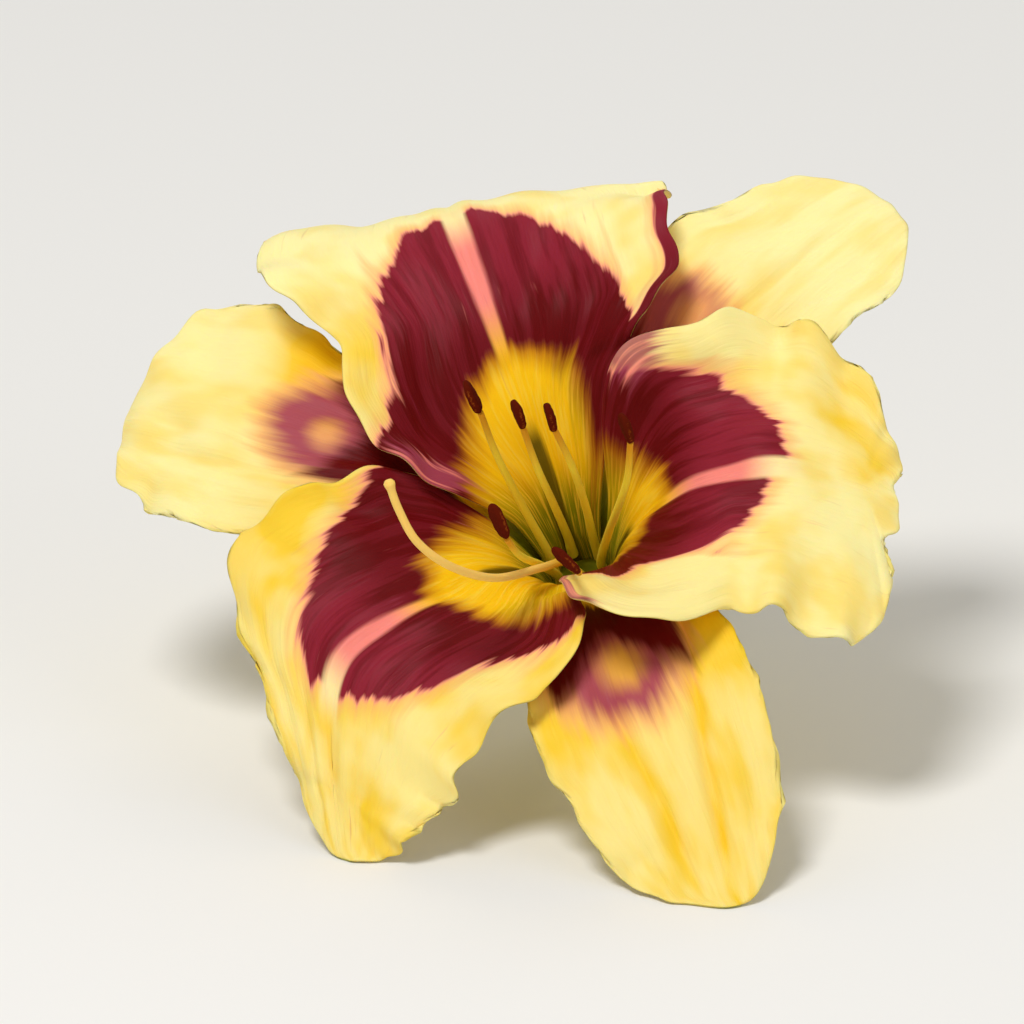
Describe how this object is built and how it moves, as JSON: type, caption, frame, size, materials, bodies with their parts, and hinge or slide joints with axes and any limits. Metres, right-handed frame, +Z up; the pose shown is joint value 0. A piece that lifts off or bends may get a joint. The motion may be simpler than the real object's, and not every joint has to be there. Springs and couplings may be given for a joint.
{
  "type": "daylily flower",
  "caption": "Picked daylily bloom lying on its lower tepal tips and short cut stem: ruffled petals with a dark eye zone, narrower sepals, curved stamens and pistil.",
  "frame": {"origin": "on the ground, under the middle of the bloom's outline", "axes": "+Z up, the throat faces -Y and up, +X to the bloom's right as seen from the front"},
  "size_m": [0.1072, 0.1054, 0.0698],
  "materials": {
    "petal": "soft satin petal, pale yellow with a dark red eye zone",
    "sepal": "soft satin, yellow with a faint rose patch",
    "tube": "smooth, green-yellow",
    "filament": "smooth, golden yellow",
    "anther": "velvety, dark brown",
    "pistil": "smooth, pale yellow",
    "stem": "smooth, green",
    "bract": "dry satin, green"
  },
  "bodies": {
    "root": {"perianth_tube": "tube", "petal_top": "petal", "petal_right": "petal", "petal_left": "petal", "sepal_right": "sepal", "sepal_left": "sepal", "sepal_bottom": "sepal", "pistil": "pistil", "stem": "stem", "bract": "bract", "filament_1": "filament", "filament_2": "filament", "filament_3": "filament", "filament_4": "filament", "filament_5": "filament", "filament_6": "filament", "anther_1": "anther", "anther_2": "anther", "anther_3": "anther", "anther_4": "anther", "anther_5": "anther", "anther_6": "anther"}
  },
  "joints": []
}
